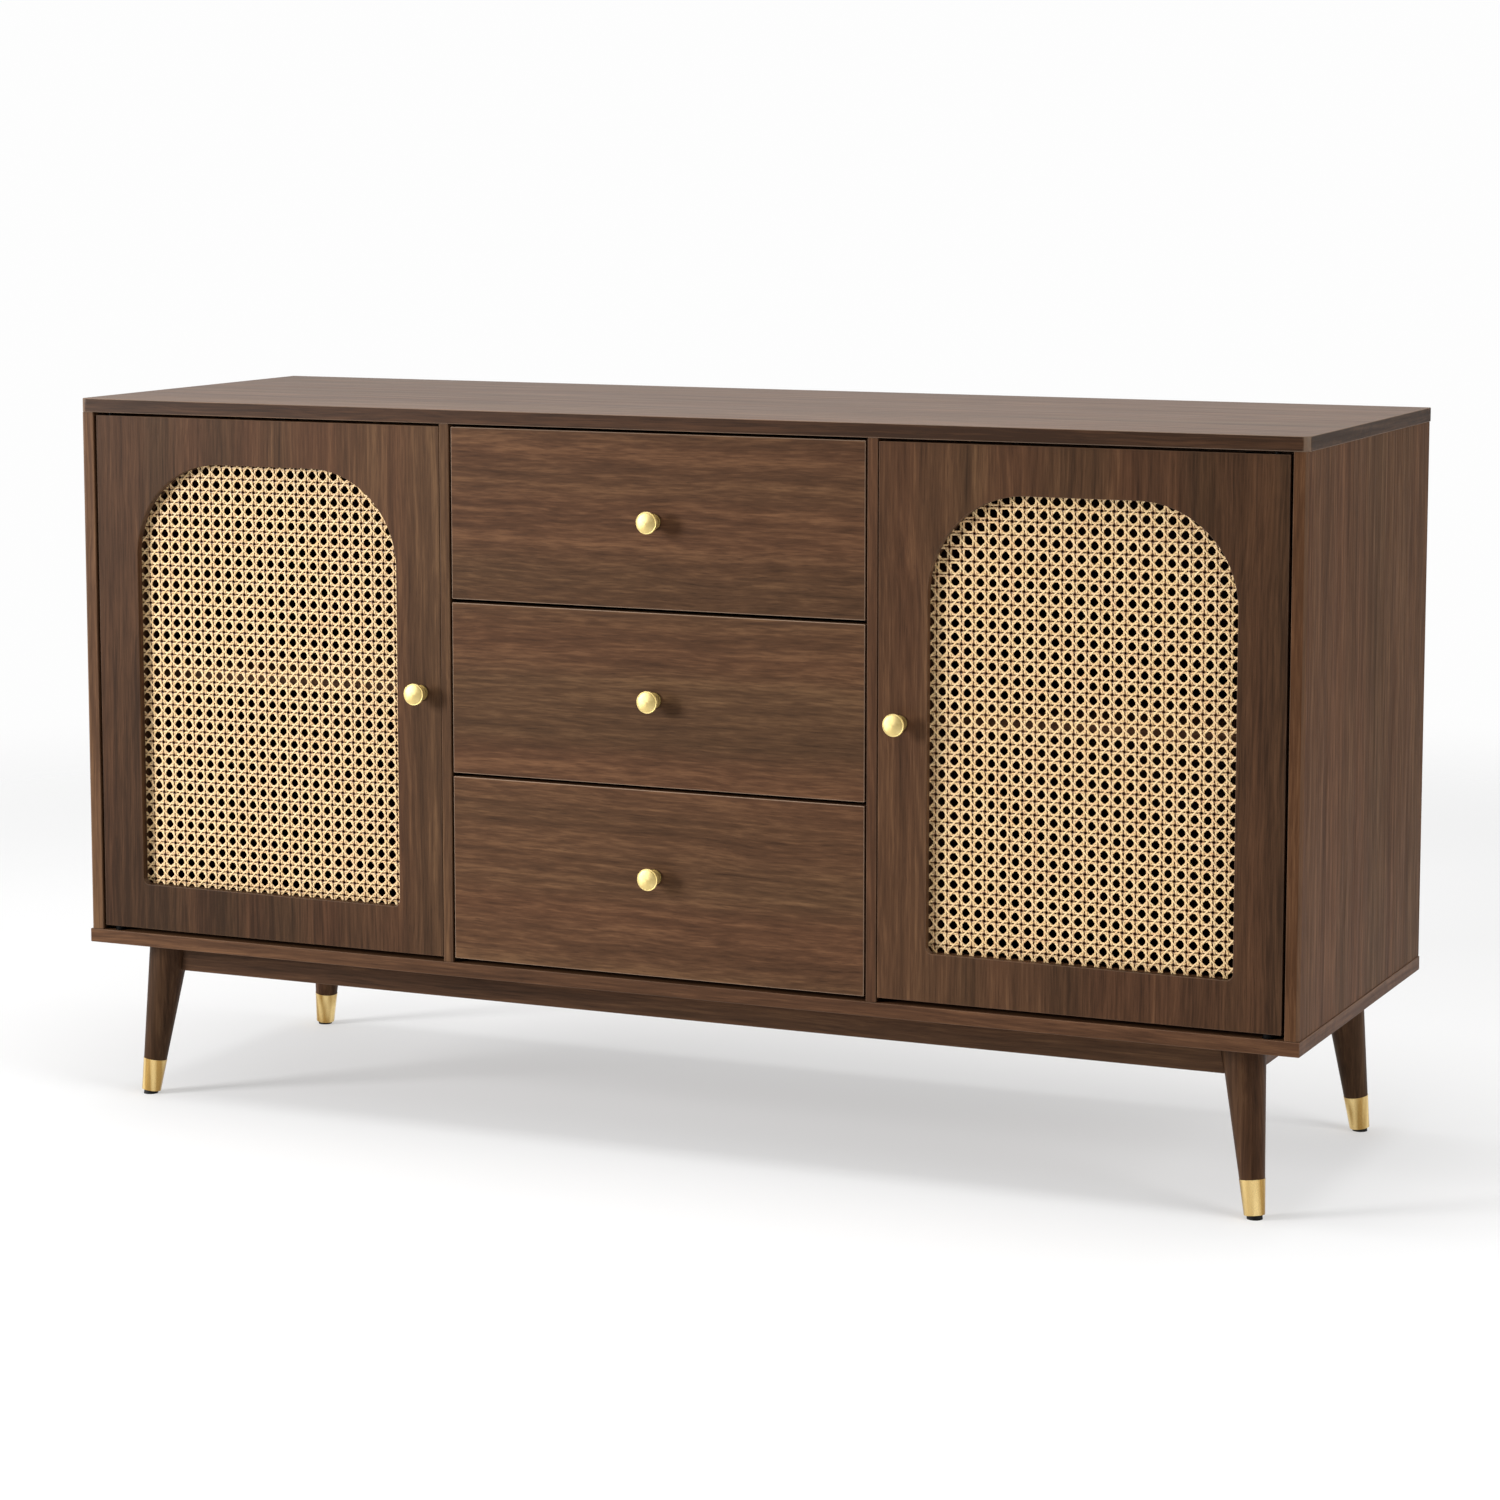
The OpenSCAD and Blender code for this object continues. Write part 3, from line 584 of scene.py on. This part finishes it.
def weave(side, hole_x, hole_z, seed):
    """The door's cane. hole_x and hole_z are the centre of one hole, from the window's lower left corner."""
    window = Window(side)
    body = side + "_door"
    node = side + "_cane"
    material = MATERIALS["cane"]
    ox = window.x0 + REBATE_COVER + hole_x - 2 * PITCH_X
    oz = window.z0 + REBATE_COVER + hole_z - 2 * PITCH_Z
    columns = int((window.x1 - ox) / PITCH_X) + 2
    rows = int((window.z1 - oz) / PITCH_Z) + 2
    jitter = random.Random(seed)

    shift_x = [jitter.uniform(-PITCH_ERROR, PITCH_ERROR) for _ in range(columns)]
    shift_z = [jitter.uniform(-PITCH_ERROR, PITCH_ERROR) for _ in range(rows)]
    web = Web(window, (ox, oz), seed + 1)
    steps = [j + 0.5 + o for j in range(rows) for o in STRAND_STEPS]
    for i in range(columns):
        for hand in (-1, 1):
            x = ox + (i + 0.5) * PITCH_X + shift_x[i] + hand * PAIR_X
            web.sweep(lambda s: (x + hand * bow((s % 1 - 0.5) * PITCH_Z), oz + s * PITCH_Z),
                      lambda s: hand * over_under((s % 1 - 0.5) * PITCH_Z, PAIR_Z + PAIR_BOW),
                      (1, 0), steps, STRAND_W, STRAND_T)
    web.build(side + "_cane_uprights", body, node, material)

    web = Web(window, (ox, oz), seed + 2)
    steps = [i + 0.5 + o for i in range(columns) for o in STRAND_STEPS]
    for j in range(rows):
        for hand in (-1, 1):
            z = oz + (j + 0.5) * PITCH_Z + shift_z[j] + hand * PAIR_Z
            web.sweep(lambda s: (ox + s * PITCH_X, z + hand * bow((s % 1 - 0.5) * PITCH_X)),
                      lambda s: -hand * over_under((s % 1 - 0.5) * PITCH_X, PAIR_X + PAIR_BOW),
                      (0, -1), steps, STRAND_W, STRAND_T)
    web.build(side + "_cane_levels", body, node, material)

    web = Web(window, (ox, oz), seed + 3)
    diagonal = math.hypot(PITCH_X, PITCH_Z)
    for lean in (1, -1):
        across = (PITCH_Z / diagonal, lean * PITCH_X / diagonal)
        steps = [k / DIAGONAL_STEPS for k in range(columns * DIAGONAL_STEPS)]
        for k in range(-columns, columns + rows):
            web.sweep(lambda s: (ox + s * PITCH_X, oz + (k + 0.5 - s if lean > 0 else s - k - 0.5) * PITCH_Z),
                      lambda s: -lean * DIAGONAL_RISE * flat_wave(s), across, steps, DIAGONAL_W, STRAND_T)
    web.build(side + "_cane_diagonals", body, node, material)


# ---- Knobs ----

CROSS_ARM = 0.42          # Sine of twice the angle within which a cross recess has its arms


def cross_recess(reach, waist):
    """Radius of a cross-shaped hole at an angle, in mm."""
    def radius(angle):
        return reach if abs(math.sin(2 * angle)) < CROSS_ARM else waist
    return radius


def knob_profile(r, out):
    """The knob's outline from the base to the face, as (radius, distance from the front) in mm."""
    rim = out - 4.5
    base = [(8.5, 0), (8.5, 1.7), (8.35, 2.15), (8.0, 2.4), (7.4, 2.5), (6.7, 2.7)]
    neck = [(5.9, 3.2), (5.4, 4.1), (5.1, 5.6), (5.0, 7.5), (5.0, rim - 5), (5.3, rim - 3.6)]
    flare = [(6.4, rim - 2.2), (8.6, rim - 0.9), (r - 1.1, rim - 0.2), (r - 0.35, rim)]
    edge = [(r - 0.08, rim + 0.2), (r, rim + 0.5), (r, rim + 2.0), (r - 0.1, rim + 2.3)]
    lip = [(r - 0.35, rim + 2.5), (r - 0.75, rim + 2.55), (r - 1.0, rim + 2.45), (r - 1.15, rim + 2.35)]
    dome_r, dome_rise, steps = r - 1.35, 2.0, 10
    dome = [(dome_r - dome_r * k / steps, out - dome_rise * (1 - k / steps) ** 1.7) for k in range(steps)]
    return base + neck + flare + edge + lip + dome + [(0.4, out)]


def screw_profile(thick, tip):
    """The screw through a front that is thick, with its head's end at tip behind the front's face."""
    shank = [(1.9, -0.5), (1.9, -thick)]
    head = [(4.5, -thick), (4.5, -thick - 0.9), (4.2, -thick - 1.7), (3.4, -tip + 0.25), (2.6, -tip)]
    recess = [(cross_recess(2.3, 0.75), -tip), (cross_recess(1.9, 0.6), -tip + 1.5)]
    return shank + head + recess


def add_knob(node, body):
    """The knob's turned shape and the screw behind it, where the CAD knob is."""
    low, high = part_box(node)
    front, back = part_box(body + ("_front" if "drawer" in body else "_panel"))
    at = Vector(((low.x + high.x) / 2, front.y, (low.z + high.z) / 2))
    profile = knob_profile((high.x - low.x) / 2 / MM, (front.y - low.y) / MM)
    knob = lathe(node + "_turned", profile, at, MATERIALS["knob"])
    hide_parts(node)
    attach(knob, body)
    profile = screw_profile((back.y - front.y) / MM, (high.y - front.y) / MM)
    screw = lathe(node + "_screw", profile, at, MATERIALS["fitting_steel"], turns=48)
    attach(screw, body)


# ---- The cabinet's own pieces ----

FRONT_EDGE = 0.0009       # Radius of the doors' and drawer fronts' edges, m
BOARD_EDGE = 0.0008
ROUNDED = ("panel", "front", "apron", "divider", "shelf", "rail", "sides", "catch")
SQUARE = ("leg", "slide")


def finish_cad():
    """Gives every CAD node its material, and rounds the edges of the boards."""
    for name, piece in NODES.items():
        piece.data.materials.clear()
        piece.data.materials.append(material_for(name))
        if rounded(name):
            weld = piece.modifiers.new("Weld", "WELD")
            weld.merge_threshold = 0.01 * MM
            flat = piece.modifiers.new("Flat faces", "DECIMATE")
            flat.decimate_type = "DISSOLVE"
            flat.angle_limit = math.radians(1)
            bevel = piece.modifiers.new("Edges", "BEVEL")
            bevel.width = edge_radius(name)
            bevel.segments = 3
            bevel.limit_method = "ANGLE"
            bevel.angle_limit = math.radians(40)
            bevel.use_clamp_overlap = False
            bevel.loop_slide = False


def edge_radius(name):
    return FRONT_EDGE if "door_panel" in name or "front" in name else BOARD_EDGE


def rounded(name):
    return any(word in name for word in ROUNDED) and not any(word in name for word in SQUARE)


# Walnut pieces: seed, then the log's heart and tilt
UPRIGHTS = {
    "left_side_panel": (11, (0.02, 0.9), 0.02), "right_side_panel": (12, (0.05, 0.95), 0.02),
    "left_divider": (13, (0.1, 0.3), 0.02), "right_divider": (14, (0.02, 0.5), 0.02),
    "left_door_panel": (15, (-0.10, -0.10), 0.07), "right_door_panel": (16, (0.22, -0.12), -0.08),
    "left_cane_retainer": (17, (-0.45, 0.1), 0.03), "right_cane_retainer": (18, (0.45, 0.1), 0.03)}
LEVELS = {
    "top_panel": (21, (0.1, 0.70), 0.01), "bottom_panel": (22, (0.0, 0.12), 0.01),
    "left_shelf": (23, (0.05, 0.4), 0.02), "right_shelf": (24, (0.0, 0.42), 0.02),
    "front_apron": (25, (-0.1, 0.1), 0.02), "back_apron": (26, (0.2, 0.1), 0.02),
    "top_drawer_front": (27, (-0.16, 0.80), 0.04), "middle_drawer_front": (28, (-0.15, 0.40), -0.04),
    "bottom_drawer_front": (29, (-0.17, 0.20), 0.03)}
SIDEWAYS = {"left_apron": (31, (-0.6, 0.1), 0.02), "right_apron": (32, (0.6, 0.1), 0.02),
            "centre_rail": (33, (0.0, 0.1), 0.02)}
LEGS = {"front_left_leg": 41, "front_right_leg": 42, "back_left_leg": 43, "back_right_leg": 44}
LOOKS = {
    # The top's haze is a painted sheen on its level face, and its rim a painted highlight
    "top_panel": {"sheen": 0.13, "rough": 0.45, "edge": -0.5, "painted_sheen": 0.037, "rim": 0.3},
    "right_side_panel": {"sheen": 0.03, "drift": (0.0, 0.0, 0.06)},
    "front_apron": {"tone": 0.94},
    "left_door_panel": {"drift": (0.95, 0.5, -0.02)}, "right_door_panel": {"drift": (-0.75, 0.0, 0.18)},
    # The drawer fronts' rim is a strong painted highlight on their rounded edges
    "top_drawer_front": {"dash": 22.0, "tone": 1.0, "rim": 0.7},
    "middle_drawer_front": {"dash": 20.0, "tone": 1.01, "rim": 0.7},
    "bottom_drawer_front": {"dash": 21.0, "tone": 1.03, "rim": 0.7}}


def make_materials():
    made = {}
    for group, along, end_along in ((UPRIGHTS, "Z", "X"), (LEVELS, "X", "Y"), (SIDEWAYS, "Y", "X")):
        for name, (seed, heart, tilt) in group.items():
            made[name] = walnut("walnut_" + name, along, end_along, seed, heart, tilt, **LOOKS.get(name, {}))
    for name, seed in LEGS.items():
        made[name] = walnut("walnut_" + name, "Z", "X", seed, (0.3, 0.3), 0.02, tone=0.82, rough=0.42,
                            sheen=0.06, rim=0.0)
    made["drawer_board"] = board("drawer_melamine", (196, 178, 154), (172, 152, 126), 0)
    made["back_board"] = board("back_hardboard", (112, 84, 62), (92, 68, 50), 3)
    made["cane"] = cane_straw()
    made["knob"] = knob_brass()
    # The ferrules' upright bright and dull stripes are painted reflections around each ferrule
    made["ferrule"] = metal("ferrule_brass_brushed", (246, 216, 150), (178, 142, 80), 0.26,
                            (3000, 3000, 20), (130, 130, 0))
    made["fitting_steel"] = metal("zinc_steel", (205, 206, 208), (176, 178, 182), 0.36,
                                  (900, 900, 60), (60, 60, 60))
    made["slide_steel"] = metal("slide_zinc", (208, 210, 213), (184, 187, 192), 0.34,
                                (900, 30, 900), (60, 60, 60))
    made["glide"] = plastic("glide_plastic", (8, 8, 8), 0.2)
    made["bush_nylon"] = plastic("bush_nylon", (7, 6, 6), 0.06)
    made["pivot_black"] = plastic("pivot_black_oxide", (9, 8, 8), 0.06)
    made["catch"] = plastic("catch_plastic", (20, 19, 18), 0.4)
    return made


def material_for(name):
    """A node's own walnut, or else the material of its slot."""
    if name in MATERIALS:
        return MATERIALS[name]
    slot = NODE_SLOTS[name]
    return MATERIALS[{"ferrule_brass": "ferrule", "knob_brass": "knob"}.get(slot, slot)]


NODE_SLOTS = {part["node"]: part["material_slot"] for part in frame["record"]["subparts"]}
MATERIALS = make_materials()

finish_cad()
weave("left", hole_x=2.7, hole_z=12.2, seed=61)
weave("right", hole_x=12.7, hole_z=1.4, seed=71)
for body in ("left_door", "right_door", "top_drawer", "middle_drawer", "bottom_drawer"):
    add_knob(body + "_knob", body)


# ---- Stage ----

FLOOR_R = 3.4             # Radius at which the floor has faded into the backdrop, m
FLOOR_FADE = 1.7          # Radius at which the fading starts, m
FLOOR_GLOW = 0.43         # Share of the floor's light that no shadow takes away
FLOOR_RINGS = 12
FLOOR_TURNS = 96
AMBIENT = 0.80            # Strength of the studio's light from its bright side
AMBIENT_DIM = 0.05        # and from the opposite side
BRIGHT_SIDE = (-0.75, 0.62, 0.23)
BACKDROP = 0.985          # Brightness of the backdrop as the camera sees it
LIGHTS = (                # Name, place, target, size and power
    ("Key", (-3.6, -3.0, 1.5), (0.0, 0.0, 0.45), (1.2, 1.6), 222),
    ("Top", (0.0, -0.2, 3.2), (0.0, 0.0, 0.0), (2.6, 2.0), 72),
    ("Fill", (3.2, -0.8, 1.5), (0.5, 0.0, 0.45), (1.6, 1.6), 53))


def add_floor():
    """A pale disc that fades into the backdrop."""
    rings, turns = FLOOR_RINGS, FLOOR_TURNS
    points = [(0, 0, 0)]
    faces = []
    for ring in range(1, rings + 1):
        r = FLOOR_R * ring / rings
        angles = [2 * math.pi * k / turns for k in range(turns)]
        points += [(r * math.cos(angle), r * math.sin(angle), 0) for angle in angles]
    for k in range(turns):
        faces.append((0, 1 + k, 1 + (k + 1) % turns))
    for ring in range(rings - 1):
        for k in range(turns):
            a, b = 1 + ring * turns + k, 1 + ring * turns + (k + 1) % turns
            faces.append((a, a + turns, b + turns, b))
    material, graph, shader = new_material("pale_floor")
    place = object_place(graph)
    cloud = graph.noise(place, (2, 2, 2), detail=2.0)
    colour = graph.mix(cloud, srgb(180, 180, 180), srgb(183, 183, 183))
    plug(graph, shader, Base_Color=colour, Roughness=graph.remap(cloud, 0.3, 0.7, 0.8, 0.9),
         Specular_IOR_Level=0.1)
    clear = graph.node("ShaderNodeBsdfTransparent").outputs[0]
    limits = {"Value": graph.length(place), "From Min": FLOOR_FADE, "From Max": FLOOR_R * 0.98}
    fade = graph.node("ShaderNodeMapRange", limits, interpolation_type="SMOOTHSTEP").outputs["Result"]
    glow = graph.node("ShaderNodeEmission", {"Color": (1, 1, 1, 1), "Strength": FLOOR_GLOW}).outputs[0]
    lit = graph.node("ShaderNodeAddShader", {0: shader.outputs[0], 1: glow}).outputs[0]
    both = graph.node("ShaderNodeMixShader", {0: fade, 1: lit, 2: clear}).outputs[0]
    graph.tree.links.new(both, graph.tree.nodes["Material Output"].inputs["Surface"])
    floor = add_mesh("floor", points, faces, material)


def add_world():
    """A plain backdrop, and soft light that is stronger from one side."""
    world = bpy.data.worlds.new("Studio")
    bpy.context.scene.world = world
    world.use_nodes = True
    graph = Graph(world.node_tree)
    seen = graph.node("ShaderNodeLightPath").outputs["Is Camera Ray"]
    towards = graph.node("ShaderNodeTexCoord").outputs["Generated"]
    dot = graph.node("ShaderNodeVectorMath", {0: towards, 1: BRIGHT_SIDE}, operation="DOT_PRODUCT")
    side = dot.outputs["Value"]
    ambient = graph.remap(side, -0.6, 0.9, AMBIENT_DIM, AMBIENT)
    strength = graph.math("MULTIPLY_ADD", graph.math("SUBTRACT", BACKDROP, ambient), seen, ambient)
    background = world.node_tree.nodes["Background"]
    background.inputs["Color"].default_value = (1, 1, 1, 1)
    graph.tree.links.new(strength, background.inputs["Strength"])


add_world()
add_floor()
for light in LIGHTS:
    add_area(*light)
add_camera()
bpy.context.scene.view_settings.view_transform = "Standard"
bpy.context.scene.view_settings.look = "None"
